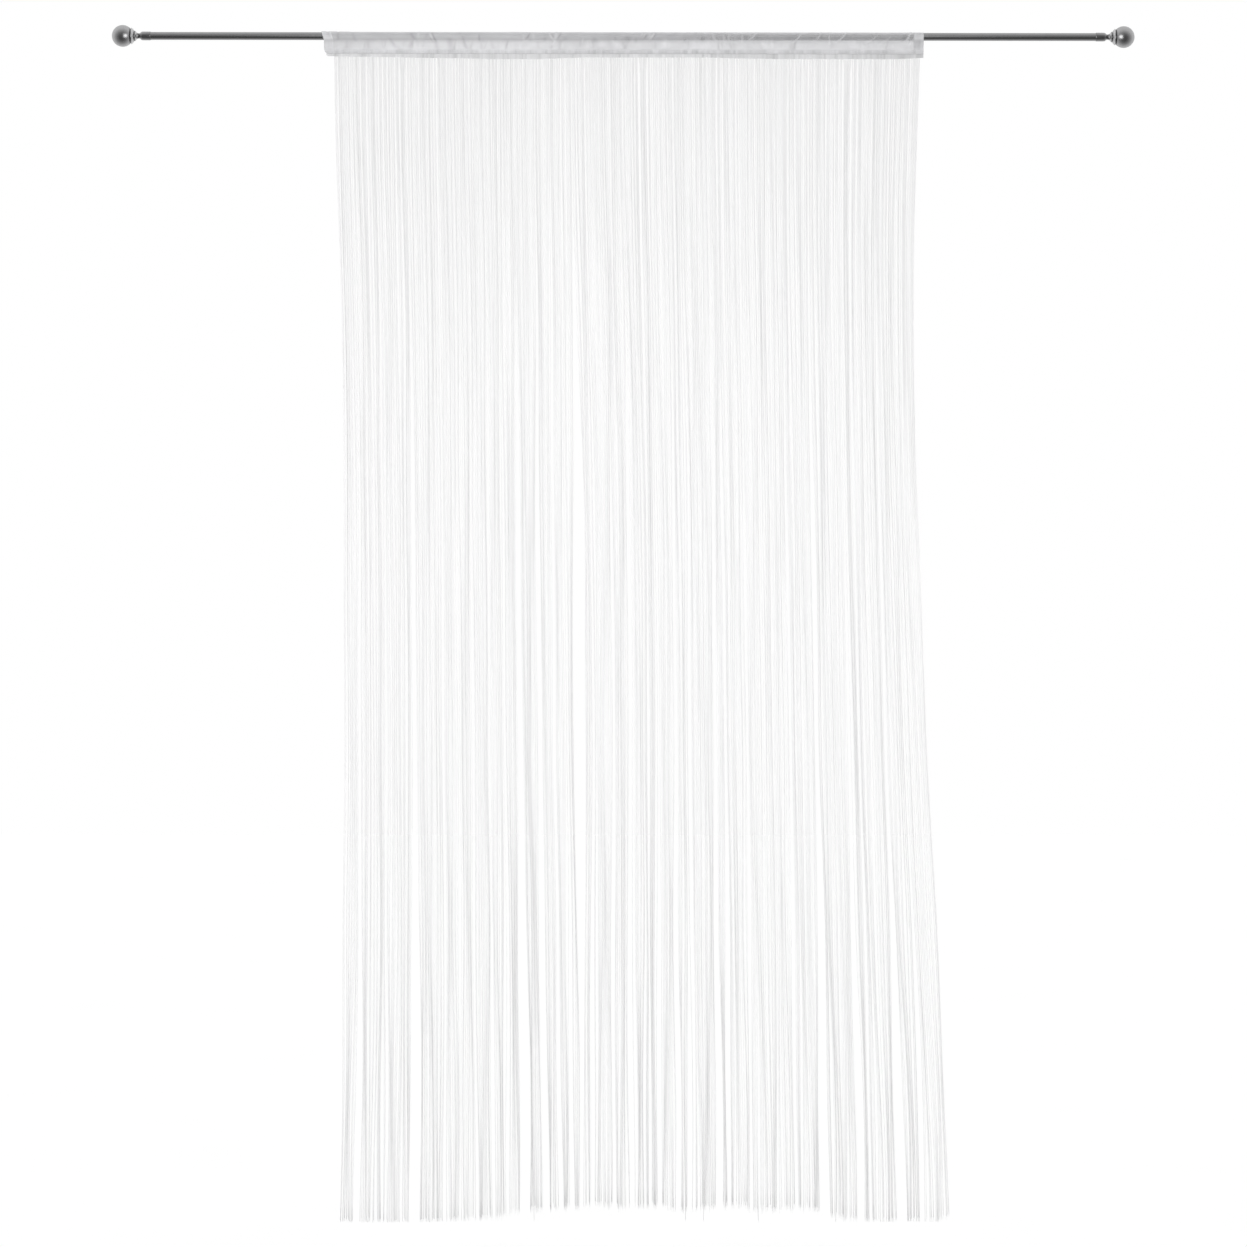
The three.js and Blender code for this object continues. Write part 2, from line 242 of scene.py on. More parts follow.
# Stitches
STITCH_PITCH = 3.2 * MM
STITCH_LENGTH = 2.3 * MM
STITCH_RADIUS = 0.22 * MM
STITCH_RAISED = 0.12 * MM
STITCH_SIDES = 6
STITCH_TILT = 0.08
STITCH_ROWS = (SEAM_TOP - 0.8 * MM, POCKET_FOOT + 1.0 * MM)
STITCH_INSET = 2 * MM  # from the tape's ends

# A stitch's outline: place as a share of its length, radius as a share of its widest
STITCH_OUTLINE = [(-0.5, 0.35), (-0.3, 0.95), (0.3, 0.95), (0.5, 0.35)]

# Tape
TAPE_LEFT = -498.5 * MM
TAPE_RIGHT = 504.2 * MM
TAPE_TOP = -29.3 * MM
TAPE_FOOT = -35.7 * MM
TAPE_STEP = 0.83 * MM
TAPE_CORNER = 3 * MM
TAPE_CORNER_HEIGHT = 0.55  # of the tape's own, at its left end
RIB_PITCH = 2.5 * MM
RIB_HEIGHT = 0.1

# The tape's section, in millimetres: half its thickness and height, with a tongue between the pocket's layers
TAPE_SECTION = [
    (0.2, -25.6),
    (0.4, -26.0),
    (0.4, -29.1),
    (0.85, -29.3),
    (1.0, -29.9),
    (1.0, -34.6),
    (0.85, -35.3),
    (0.3, -35.7),
]

# How much lower the tape's edge hangs, in millimetres: place, drop
TAPE_SAG = [
    (-500, -2.2),
    (-420, -1.0),
    (-350, 0.6),
    (-265, 1.4),
    (-225, 2.8),
    (-145, 2.8),
    (-105, 1.0),
    (-64, -0.2),
    (140, -0.6),
    (180, 0.6),
    (220, 1.6),
    (260, 2.1),
    (460, 2.0),
    (504, -0.2),
]

# Where the loose cloth and the tape look lighter or darker: place in millimetres, change
CLOTH_TONES = [
    (-500, -0.08),
    (-470, -0.03),
    (-420, -0.01),
    (-390, 0.03),
    (-150, 0.03),
    (-90, -0.035),
    (0, -0.03),
    (130, -0.005),
    (200, -0.02),
    (480, -0.045),
]
TAPE_TONES = [
    (-500, 0.0),
    (140, 0.0),
    (165, -0.07),
    (215, -0.07),
    (240, 0.0),
    (350, -0.01),
    (390, -0.07),
    (480, -0.1),
    (504, -0.18),
]

# Strings
STRING_COUNT = 392
ROOT_LEFT = -484.0
ROOT_RIGHT = 498.5
ROOT_UNEVEN = 0.7
ROOT_DEPTH = 2.8  # above the tape's foot, inside it
FOOT = 1991.6
STEPS = 64
SIDES = 8
STRING_HALF = (0.9, 0.5)  # half the width and half the depth of the flattened yarn
SIZE_BY_STRING = (0.88, 1.12)
SIZE_ALONG = (0.97, 1.03)
ROOT_SIZE = 1.25
END_SIZE = 0.7
TWIST = (0.5, 3)  # radians either way: at the root, and more by the foot
PIECES = 4

# How much thicker the yarn is near the tape: share, metres over which it fades
THICKER_UP = [
    (0.12, 0.25),
    (0.15, 0.09),
]

# How the curtain's outline drifts, in millimetres: drop, leftmost string, middle's move to the right,
# rightmost string
OUTLINE = [
    (36, -484, 0, 498.5),
    (110, -482, 1, 495),
    (240, -479, 2, 489.5),
    (440, -471, 6.5, 486),
    (850, -466, 12, 496),
    (1250, -465, 15.5, 513.5),
    (1450, -466, 17.5, 524.5),
    (1620, -467, 18, 534.5),
    (1790, -470, 20, 545),
    (FOOT, -474, 21.5, 552),
]
EDGE_REACH = 150
OUTLINE_EASE = 120

# Gaps that open as the strings gather, in millimetres: place at the foot, width halfway down and at the foot,
# and the drop where each starts
OPENINGS = [
    (-444, 4, 10, 700),
    (-423, 2, 3, 900),
    (-397, 2, 3, 800),
    (-347, 6, 21, 200),
    (-297, 2, 3, 500),
    (-270, 3, 4, 700),
    (-244, 3, 4, 500),
    (-216, 3, 4, 400),
    (-189, 4, 8, 500),
    (-162, 9, 21, 250),
    (-129, 6, 12, 200),
    (-101, 5, 8, 150),
    (-83, 4, 12, 150),
    (-66, 22, 5, 250),
    (-49, 4, 15, 200),
    (-13, 4, 7, 500),
    (16, 10, 17, 150),
    (39, 2, 3, 600),
    (64, 3, 9, 400),
    (94, 5, 12, 300),
    (120, 8, 14, 200),
    (164, 5, 12, 250),
    (180, 3, 8, 500),
    (218, 2, 4, 300),
    (253, 2, 3, 700),
    (294, 4, 5, 250),
    (343, 7, 17, 250),
    (401, 3, 13, 800),
    (440, 2, 3, 700),
    (470, 5, 17, 250),
    (508, 2, 7, 900),
]
HALFWAY = 950
LOWER = 1150
OPEN_BY = 1900
BUNDLE_REACH = 11

# Where the strings thin out round the curtain's middle height, in millimetres: place at the foot, half
# width and how far they move apart
THIN = (-72, 32, 9)
THIN_DROP = 650

# Sideways drifts that neighbours share, in millimetres: reach across, lengths down, size at the top and
# growth to the foot
DRIFTS = [
    (37, (1500, 700), 0.5, 2.2),
    (23, (900, 530), 0.5, 1.2),
    (7.7, (1300, 700), 0.25, 0.2),
]

# Groups of neighbours: number of strings, share of the groups; and how closely a group draws together, share
GROUP_SIZES = [(1, 0.2), (2, 0.25), (3, 0.25), (4, 0.18), (6, 0.12)]
TIGHTNESS = [(0.0, 0.4), (0.2, 0.27), (0.4, 0.21), (0.65, 0.12)]
PULL_VARIES = (0.8, 0.2, 1100)  # mean, change, length in millimetres

# Over which drops the groups draw together, in millimetres: start, end, share
DRAWN = [
    (30, 60, 0.4),
    (100, 700, 0.2),
    (1200, 1950, 0.4),
]

# Depth of the strings, in millimetres
LANES = 3
LANE_STEP = 2.9
LANES_OPEN_BY = 300
SWAY_DEPTH = 6
SWAY_LENGTH = 340

# Each string's own sway, in millimetres: size, length
OWN_SIDEWAYS = (0.15, 530)
OWN_DEPTH = (0.4, 370)
OWN_FROM = (40, 300)  # the drops over which it starts

# Tone of the yarn, with painted shade and light: how much neighbours shade a string, and the shares of plain
# and darker strings
CROWD_REACH = 2.6
CROWD_FREE = 1.8
CROWD_SHADE = 0.028
CROWD_TONE = 1.016
CROWD_LIMITS = (0.86, 1.026)
STRING_TONES = [(1.0, 0.6), (0.98, 0.28), (0.93, 0.12)]
# Painted light that grows down the strings, painted shade under the tape and painted light near the foot
YARN_TONE = 0.963
TONE_DOWN = 0.004  # lighter for each metre down
TAPE_SHADE = (0.066, 0.17)  # under the tape: change, metres over which it fades
FOOT_LIGHT = (1.5, 1.75, 0.012)  # metres down where it starts and ends, change

# The strings' ends, in millimetres: place across the curtain, rise above the longest
ENDS = [
    (-480, 0),
    (-310, 0),
    (-285, 3),
    (-225, 5),
    (-195, 12),
    (-172, 20),
    (-95, 25),
    (-35, 30),
    (0, 24),
    (30, 28),
    (75, 25),
    (103, 20),
    (170, 27),
    (200, 29),
    (230, 21),
    (315, 25),
    (355, 14),
    (376, 6),
    (440, 0),
    (530, 2),
    (548, 10),
]
UNEVEN = 8
LONG_ONES = [125, 226, 237, 274, 322]  # counted from the left
LONG_RISE = 0.15  # share of the rise that they keep

# Loose filaments below each cut end, in millimetres
FRAY_EACH = 4
FRAY_RINGS = 4
FRAY_SIDES = 3
FRAY_LENGTH = (2, 10)
FRAY_SPREAD = 1.3
FRAY_START = 0.35
FRAY_RADIUS = 0.2
FRAY_INSIDE = 2
FRAY_TONE = 0.97

# Pitches of weave, knitting and twist
WEAVE_PITCH = 0.9 * MM
YARN_PITCH = 2.2 * MM
TAPE_PITCH = 0.9 * MM
THREAD_PITCH = 0.6 * MM

# Studio
FLOOR_HALF = 14.0
FLOOR_BELOW = 60 * MM

# Room's light on cloth and yarn, from below (0) to above (1)
ROOM_LIGHT = [
    (0.0, 0.82),
    (0.5, 0.77),
    (1.0, 0.72),
]

# What metal reflects, from the camera's side (0) to the wall's side (1)
METAL_SEES = [
    (0.0, 0.07),
    (0.06, 0.095),
    (0.12, 0.145),
    (0.2, 0.25),
    (0.32, 0.41),
    (0.46, 0.62),
    (0.64, 0.87),
]
METAL_TOWARDS_WALL = 0.445
METAL_UPWARDS = 0.18

# Lamps: name, place, aim, width and height, watts, whether it is for metal, and what it lights
LAMPS = [
    ("finial_highlight", (0, -1.05, -0.1), (0, 0, -0.1), (1.0, 0.68), 4.4, True, "finials"),
    ("rod_glow", (0, -1.1, 0.62), (0, 0, 0), (2.6, 2.5), 3.1, True, "rod"),
    ("rod_sheen", (0, -1.1, 0.09), (0, 0, 0), (1.3, 1.2), 2.1, True, "rod"),
    ("front_softbox", (0, -2.2, -0.9), (0, 0, -0.95), (2.0, 1.4), 28, False, "textiles"),
    ("back_softbox", (0, 2.2, -0.9), (0, 0, -0.95), (2.0, 1.4), 16, False, "textiles"),
]


# Helpers


def smooth(low, high, value):
    """0 below low, 1 above high and a soft step between."""
    share = np.clip((value - low) / (high - low), 0, 1)
    return share * share * (3 - 2 * share)


def soft_steps(table, value):
    """The sum of the soft steps in a table of (start, end, change)."""
    return sum(change * smooth(low, high, value) for low, high, change in table)


def bell(away):
    """1 in the middle and next to nothing from 2 on."""
    return np.exp(-away * away)


def looked_up(table, at):
    """The values at some places of a table of (place, value), straight between its rows."""
    places, values = np.array(table, float).T
    return np.interp(at, places, values)


def marks(random, count, low, high):
    """Rows of values, each value between its low and its high."""
    for _ in range(count):
        yield random.uniform(low, high)


def picked(random, table, size):
    """Values of a table of (value, share), as often as their shares say."""
    values, shares = zip(*table)
    return random.choice(values, size, p=shares)


def mesh_piece(name, points, faces, material, node=None):
    """A smooth mesh that rides on the curtain's one body, and the node that it stands for."""
    mesh = bpy.data.meshes.new(name)
    mesh.from_pydata(np.asarray(points).reshape(-1, 3).tolist(), [], faces)
    mesh.validate()
    mesh.shade_smooth()
    mesh.materials.append(material)
    piece = bpy.data.objects.new(name, mesh)
    bpy.context.scene.collection.objects.link(piece)
    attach(piece, BODY)
    if node:
        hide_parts(node)
    return piece


def paint(piece, name, values):
    """A value at each point of a piece, for its material to read."""
    layer = piece.data.attributes.new(name, "FLOAT", "POINT")
    layer.data.foreach_set("value", np.ascontiguousarray(values, dtype=float).ravel())


def tube_faces(tubes, rings, sides):
    """Quads round each of several tubes, whose points run ring by ring, and a face on each end."""
    tube, ring, side = np.meshgrid(np.arange(tubes), np.arange(rings - 1), np.arange(sides), indexing="ij")
    start = tube * rings * sides + ring * sides
    after = (side + 1) % sides
    quads = np.stack([start + side, start + sides + side, start + sides + after, start + after], -1)
    first = np.arange(tubes)[:, None] * rings * sides + np.arange(sides)
    last = first[:, ::-1] + (rings - 1) * sides
    return quads.reshape(-1, 4).tolist() + first.tolist() + last.tolist()


# Nodes


def principled(name, **sockets):
    """A new Principled material with its constant sockets set, its node tree and its shader."""
    material = bpy.data.materials.new(name)
    material.use_nodes = True
    tree = material.node_tree
    shader = tree.nodes["Principled BSDF"]
    for socket, value in sockets.items():
        shader.inputs[socket.replace("_", " ")].default_value = value
    return material, tree, shader


def stretched(tree, scale):
    """Object coordinates, in metres, stretched by a scale for each axis."""
    place = tree.nodes.new("ShaderNodeTexCoord")
    mapping = tree.nodes.new("ShaderNodeMapping")
    mapping.inputs["Scale"].default_value = scale
    tree.links.new(place.outputs["Object"], mapping.inputs["Vector"])
    return mapping.outputs["Vector"]


def noise(tree, scale, detail=3.0):
    """Soft clouds, with a scale for each axis."""
    texture = tree.nodes.new("ShaderNodeTexNoise")
    texture.inputs["Scale"].default_value = 1.0
    texture.inputs["Detail"].default_value = detail
    tree.links.new(stretched(tree, scale), texture.inputs["Vector"])
    return texture.outputs["Fac"]


def wave(tree, pitch, direction, distortion=0.0):
    """Bands across one direction, about a pitch in metres apart."""
    texture = tree.nodes.new("ShaderNodeTexWave")
    texture.bands_direction = direction
    texture.inputs["Scale"].default_value = 1 / (math.pi * pitch)
    texture.inputs["Distortion"].default_value = distortion
    texture.inputs["Detail Scale"].default_value = 2.0
    tree.links.new(stretched(tree, (1, 1, 1)), texture.inputs["Vector"])
    return texture.outputs["Fac"]


def ramp(tree, factor, stops):
    """A colour ramp: stops are (position, grey or colour)."""
    node = tree.nodes.new("ShaderNodeValToRGB")
    elements = node.color_ramp.elements
    while len(elements) < len(stops):
        elements.new(0.5)
    for element, (position, colour) in zip(elements, stops):
        element.position = position
        element.color = (*colour, 1) if isinstance(colour, tuple) else (colour, colour, colour, 1)
    tree.links.new(factor, node.inputs["Fac"])
    return node.outputs["Color"]


def combined(tree, operation, *values):
    """The result of a math node on plain numbers and other nodes' outputs."""
    node = tree.nodes.new("ShaderNodeMath")
    node.operation = operation
    for value, socket in zip(values, node.inputs):
        if isinstance(value, (int, float)):
            socket.default_value = value
        else:
            tree.links.new(value, socket)
    return node.outputs["Value"]


def bump(tree, shader, height, distance, strength):
    node = tree.nodes.new("ShaderNodeBump")
    node.inputs["Strength"].default_value = strength
    node.inputs["Distance"].default_value = distance
    tree.links.new(height, node.inputs["Height"])
    tree.links.new(node.outputs["Normal"], shader.inputs["Normal"])


def painted(tree, name):
    """A value that the mesh carries at each point."""
    node = tree.nodes.new("ShaderNodeAttribute")
    node.attribute_name = name
    return node.outputs["Fac"]


def shaded(tree, colour, name):
    """A colour times a value that the mesh carries at each point."""
    product = tree.nodes.new("ShaderNodeVectorMath")
    product.operation = "SCALE"
    tree.links.new(colour, product.inputs[0])
    tree.links.new(painted(tree, name), product.inputs["Scale"])
    return product.outputs["Vector"]


# Materials


def metal_material(name, darker, lighter, turning_scale, rough):
    """Satin metal with fine marks that run round the rod's axis."""
    material, tree, shader = principled(name, Metallic=1.0)
    turning = noise(tree, (turning_scale, 40, 40))
    clouds = noise(tree, (45, 45, 45))
    both = combined(tree, "MULTIPLY_ADD", clouds, 0.5, combined(tree, "MULTIPLY", turning, 0.5))
    colour = ramp(tree, both, [(0.3, darker), (0.7, lighter)])
    # The base colour is scaled by the piece's painted shade and painted reflections, all ones on the rod
    tree.links.new(shaded(tree, colour, "shade"), shader.inputs["Base Color"])
    roughness = ramp(tree, both, [(0.3, rough + 0.04), (0.7, rough - 0.04)])
    tree.links.new(roughness, shader.inputs["Roughness"])
    bump(tree, shader, turning, 0.02 * MM, 0.3)
    return material


def cloth_material():
    """Thin white cloth of fine plain weave, a little sheer."""
    material, tree, shader = principled("header_cloth", Roughness=0.85, Sheen_Weight=0.15)
    warp = wave(tree, WEAVE_PITCH, "X", 0.4)
    weft = wave(tree, WEAVE_PITCH, "Z", 0.4)
    weave = combined(tree, "MAXIMUM", warp, weft)
    clouds = noise(tree, (60, 60, 120))
    white = ramp(tree, clouds, [(0.3, (0.785, 0.785, 0.803)), (0.7, (0.845, 0.845, 0.863))])
    # The base colour is scaled by the painted tone, which holds painted shade and light
    tree.links.new(shaded(tree, white, "tone"), shader.inputs["Base Color"])
    open_weave = combined(tree, "MULTIPLY_ADD", weave, 0.12, 0.92)
    cover = combined(tree, "MULTIPLY", painted(tree, "cover"), open_weave)
    tree.links.new(cover, shader.inputs["Alpha"])
    bump(tree, shader, weave, 0.12 * MM, 0.5)
    return material


def yarn_material(name, base, pitch, blue):
    """Knitted yarn: small loops up the string and a soft, fluffy surface."""
    material, tree, shader = principled(name, Roughness=0.95, Sheen_Weight=0.3)
    loops = wave(tree, pitch, "Z", 1.5)
    fluff = noise(tree, (3000, 3000, 900), 2.0)
    tone = noise(tree, (300, 300, 3))
    darker, lighter = [(value, value, value + blue) for value in (base - 0.03, base + 0.03)]
    colour = ramp(tree, tone, [(0.3, darker), (0.7, lighter)])
    tree.links.new(shaded(tree, colour, "tone"), shader.inputs["Base Color"])
    height = combined(tree, "ADD", loops, combined(tree, "MULTIPLY", fluff, 0.7))
    bump(tree, shader, height, 0.2 * MM, 0.6)
    return material


def thread_material():
    """Twisted sewing thread."""
    material, tree, shader = principled("seam_thread", Roughness=0.7, Sheen_Weight=0.2)
    twist = wave(tree, THREAD_PITCH, "DIAGONAL")
    tree.links.new(ramp(tree, twist, [(0.0, 0.58), (1.0, 0.74)]), shader.inputs["Base Color"])
    bump(tree, shader, twist, 0.05 * MM, 0.5)
    return material


# Rod and finials


def turned(profile, at, towards):
    """Points of an outline of (distance, radius) turned about the rod's axis, from a place on it."""
    angle = np.arange(ROUND_SIDES) * 2 * math.pi / ROUND_SIDES
    along, radius = np.array(profile).T
    x = at + towards * along[:, None] + 0 * angle
    return np.stack([x, radius[:, None] * np.cos(angle), radius[:, None] * np.sin(angle)], -1)


def rod_piece(material):
    """The tube, with its ends a little rounded."""
    low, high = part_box("rod_tube")
    inner = ROD_RADIUS - ROD_WALL
    length = high.x - low.x
    outline = [
        (0.0, inner),
        (0.0, ROD_RADIUS - ROD_EASE),
        (ROD_EASE, ROD_RADIUS),
        (3 * ROD_EASE, ROD_RADIUS),
        (length - 3 * ROD_EASE, ROD_RADIUS),
        (length - ROD_EASE, ROD_RADIUS),
        (length, ROD_RADIUS - ROD_EASE),
        (length, inner),
    ]
    rings = len(outline)
    faces = tube_faces(1, rings, ROUND_SIDES)[:-2]
    first = np.arange(ROUND_SIDES)
    after = (first + 1) % ROUND_SIDES
    last = (rings - 1) * ROUND_SIDES
    inside = np.stack([first, after, last + after, last + first], -1).tolist()
    points = turned(outline, low.x, 1)
    piece = mesh_piece("rod_brushed", points, faces + inside, material, "rod_tube")
    paint(piece, "shade", np.ones((rings, ROUND_SIDES)))
    return piece


def round_over(points, steps=6):
    """A smooth outline through a coarse one, by a cubic between each two points."""
    padded = np.array([points[0], *points, points[-1]])
    out = []
    for a, b, c, d in zip(padded, padded[1:], padded[2:], padded[3:]):
        for t in np.arange(steps) / steps:
            bend = (2 * a - 5 * b + 4 * c - d) * t**2 + (3 * b - a - 3 * c + d) * t**3
            out.append(0.5 * (2 * b + (c - a) * t + bend))
    return [tuple(p) for p in out] + [tuple(points[-1])]


def finial_piece(name, node, side, material):
    """Ball, collar, bead, neck and sleeve turned in one piece, at the left (-1) or the right (1)."""
    low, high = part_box(node)
    inwards = BALL_INWARDS + BALL_RADIUS
    centre = low.x + inwards if side < 0 else high.x - inwards
    turn = np.linspace(BALL_START, math.acos(-BALL_END / BALL_RADIUS), BALL_STEPS)
    outline = [(-BALL_RADIUS * math.cos(a), BALL_RADIUS * math.sin(a)) for a in turn]
    for part in (GROOVE, COLLAR, BEAD, NECK, FLARE):
        outline += [(a * MM, r * MM) for a, r in round_over(part)[1:]]
    outline += [(a * MM, r * MM) for a, r in SLEEVE[1:]]
    outline += [(SLEEVE_END, SLEEVE_BORE), (BORE_BOTTOM, SLEEVE_BORE), (BORE_BOTTOM, BORE_MIDDLE)]
    faces = tube_faces(1, len(outline), ROUND_SIDES)
    if side < 0:
        faces = [face[::-1] for face in faces]
    piece = mesh_piece(name, turned(outline, centre, -side), faces, material, node)
    along = np.array(outline)[:, :1] / MM
    shade = np.ones_like(along)
    # Painted shade in the grooves, neck and sleeve's end, and painted reflections on the collar's and bead's
    # flanks
    for at, wide, change in PAINTED_LIGHT_AND_SHADE_RINGS:
        shade = shade * (1 + change * bell((along - at) / wide))
    paint(piece, "shade", np.broadcast_to(shade, (len(outline), ROUND_SIDES)))
    return piece


# Rod pocket


def pocket_section():
    """The middle of the cloth from the front foot over the rod to the back foot, and its way outwards."""
    turn = np.linspace(ARC_END, -ARC_END, ARC_STEPS)
    away = smooth(*CLOTH_LEAVES_ROD, np.abs(turn))
    radius = CLOTH_ON_ROD + (CLOTH_RADIUS - CLOTH_ON_ROD) * away
    arc_y, arc_z = -radius * np.sin(turn), radius * np.cos(turn)
    seam_z = np.linspace(POCKET_FOOT, SEAM_TOP, SEAM_STEPS, endpoint=False)
    y, z = [], []
    for side, steps in ((1, FRONT_STEPS), (-1, BACK_STEPS)):
        fall = np.linspace(0, 1, steps, endpoint=False)
        low_y = -SEAM_HALF + (arc_y[0] + SEAM_HALF) * fall
        low_z = SEAM_TOP + (arc_z[0] - SEAM_TOP) * fall
        y.append(side * np.concatenate([np.full(SEAM_STEPS, -SEAM_HALF), low_y])[::side])
        z.append(np.concatenate([seam_z, low_z])[::side])
    y = np.concatenate([y[0], arc_y, y[1]])
    z = np.concatenate([z[0], arc_z, z[1]])
    steps = np.diff(np.stack([y, z], -1), axis=0)
    tangent = np.concatenate([steps[:1], (steps[:-1] + steps[1:]) / 2, steps[-1:]])
    tangent /= np.linalg.norm(tangent, axis=1)[:, None]
    return y, z, np.stack([-tangent[:, 1], tangent[:, 0]], -1)


def pocket_ends(z):
    """Where the cloth starts and ends at each height: both lean, and the lower left corner is rounded."""
    down = np.clip(-z / (2 * ROD_RADIUS), -0.5, 0.5)[None, :]
    below = np.clip((CORNER_TOP - z) / (CORNER_TOP - POCKET_FOOT), 0, 1)[None, :]
    corner = CORNER_WIDTH * (1 - np.sqrt(1 - below**2 * CORNER_ROUND))
    return [at + lean * down + moved for (at, lean), moved in ((POCKET_LEFT, corner), (POCKET_RIGHT, 0))]


def fold_heights(x, y, z):
    """How far the folds move the cloth, in millimetres; the back's are the front's, moved and weaker."""
    total = np.zeros(np.broadcast(x, z).shape)
    for at, lean, wide, top, foot, height in FOLDS:
        reach = smooth(foot - 4, foot + 4, z) * (1 - smooth(top - 2, top + 4, z))
        bent = lean * z * (1 - FOLD_BEND * z)
        spread = wide * (1 + FOLD_SPREAD * (top - z))
        front = (x - at + bent) / spread
        back = (x - BACK_PLACE * at + bent + BACK_LEFT) / (BACK_WIDTH * spread)
        away = np.where(y > BACK_FROM, back, front)
        total = total + height * np.where(y > BACK_FROM, BACK_HEIGHT, 1.0) * reach * bell(away)
    return total


def pucker_heights(random, x, up):
    """Small puckers that rise from the seam and fade towards the rod."""
    rising = smooth(-24, -20, up) * (1 - smooth(-15, -2, up))
    total = np.zeros_like(x + up)
    for at, wide, tall, lean in marks(random, *PUCKERS):
        total = total + tall * bell((x - at + lean * up) / wide) * rising
    return total


def wave_heights(random, x, up, held):
    """Slow waves along the loose cloth, and the stiff hem that stands a little off the rod at the left."""
    total = np.zeros_like(x + up)
    for length, tall in WAVES:
        total = total + tall * np.sin(2 * math.pi * x / length + random.uniform(0, 2 * math.pi)) * held
    total = total * (1 - 0.7 * smooth(4, 7, up))
    return total + HEM_STANDS * (1 - smooth(-495, -425, x)) * smooth(2, 6, up)


def pocket_looks(random, x, up, folds, puckers, hem):
    """How much of the view the cloth covers, and its tone, from its folds, seam, hems and small marks, with
    painted shade in the folds, under the rod and on the right hem, and painted light on the top.
    """
    seam = 1 - smooth(SEAM_TOP / MM - 0.3, SEAM_TOP / MM + 0.6, up)
    over_rod = smooth(-9, -5, up)
    under_rod = smooth(-13, -8, up) * (1 - smooth(-6, -4, up))
    patches = np.zeros_like(folds)
    for at, wide, dark in marks(random, *SEAM_PATCHES):
        patches = np.maximum(patches, dark * (1 - smooth(wide - 0.6, wide + 0.6, np.abs(x - at))))
    for at, wide in marks(random, *PATCH_BREAKS):
        patches = patches * smooth(0.5 * wide, 1.5 * wide, np.abs(x - at))
    flecks = np.zeros_like(folds)
    for at, wide, dark in marks(random, *SEAM_FLECKS):
        flecks = flecks + dark * bell((x - at) / wide)
    # A fold shows more on the loose cloth below the rod than on the rod
    shows = 1 - 0.4 * over_rod + 0.4 * smooth(-22, -18, up) * (1 - smooth(-11, -8, up))
    raised = shows * np.clip(folds, 0, 1)
    sunken = shows * np.clip(-folds, 0, 1)
    # Towards the right the cloth lies tighter on the rod, and more of the metal shows through
    tight = over_rod * (0.19 * smooth(-350, 350, x) ** 1.5 - 0.01) * (1 - smooth(1, 5, up))
    cover = COVER + soft_steps(COVER_ON_TOP, up) - tight
    cover = cover + COVER_RAISED * raised - COVER_SUNKEN * sunken
    cover = np.maximum(np.maximum(cover, COVER_HEM * hem), COVER_SEAM * seam)
    # Painted shade in the folds' hollows and just under the rod, where the cloth leaves it
    tone = 1 - FOLD_SHADE * shows * np.clip(-folds - puckers, 0, 1) - UNDER_ROD_SHADE * under_rod
    # Painted shade in patches and flecks where the seam's gathered cloth bunches
    patchy = PATCH_SHADE[0] + PATCH_SHADE[1] * smooth(-200, 0, x)
    tone = tone - seam * (patchy * patches * (1 - hem) + FLECK_SHADE * np.clip(flecks, -1, 1.5))
    tone = tone + looked_up(CLOTH_TONES, x) * (1 - over_rod)
    # Painted light on the cloth over the top of the rod, and painted shade on the right hem
    tone = tone + TOP_LIGHT * smooth(2.8, 5.5, up) - RIGHT_HEM_SHADE * hem * smooth(480, 485, x)
    return np.broadcast_to(cover, folds.shape), np.broadcast_to(tone, folds.shape)


def pocket_piece(material):
    """The cloth round the rod with all its folds, and how long its section is when it lies flat."""
    y, z, out = pocket_section()
    random = np.random.default_rng(11)
    left, right = pocket_ends(z)
    place = left + (right - left) * np.linspace(0, 1, POCKET_STEPS)[:, None]
    x, up = place / MM, z[None, :] / MM
    held = smooth(SEAM_TOP, SEAM_TOP + 8 * MM, z)[None, :]
    folds = fold_heights(x, y[None, :] / MM, up)
    puckers = pucker_heights(random, x, up)
    waves = wave_heights(random, x, up, held)
    height = np.clip(folds * (0.4 + 0.6 * held) + puckers + waves, *RELIEF_LIMITS)
    room = np.hypot(y, z) / MM - ROD_RADIUS / MM - ROD_GAP
    height = np.maximum(height, -np.maximum(room, 0))
    points = np.stack([place, y + height * MM * out[:, 0], z + height * MM * out[:, 1]], -1)
    rows, columns = points.shape[:2]
    start = (np.arange(rows - 1)[:, None] * columns + np.arange(columns - 1)).ravel()
    faces = np.stack([start, start + 1, start + columns + 1, start + columns], -1).tolist()
    piece = mesh_piece("header_cloth", points, faces, material, "header")
    hem = 1 - smooth(HEM - 1, HEM, np.minimum(x - left / MM, right / MM - x))
    cover, tone = pocket_looks(random, x, up, folds, puckers, hem)
    paint(piece, "cover", cover)
    paint(piece, "tone", tone)
    solidify = piece.modifiers.new("thickness", "SOLIDIFY")
    solidify.thickness = CLOTH
    solidify.offset = 0
    return piece, float(np.hypot(np.diff(y), np.diff(z)).sum())


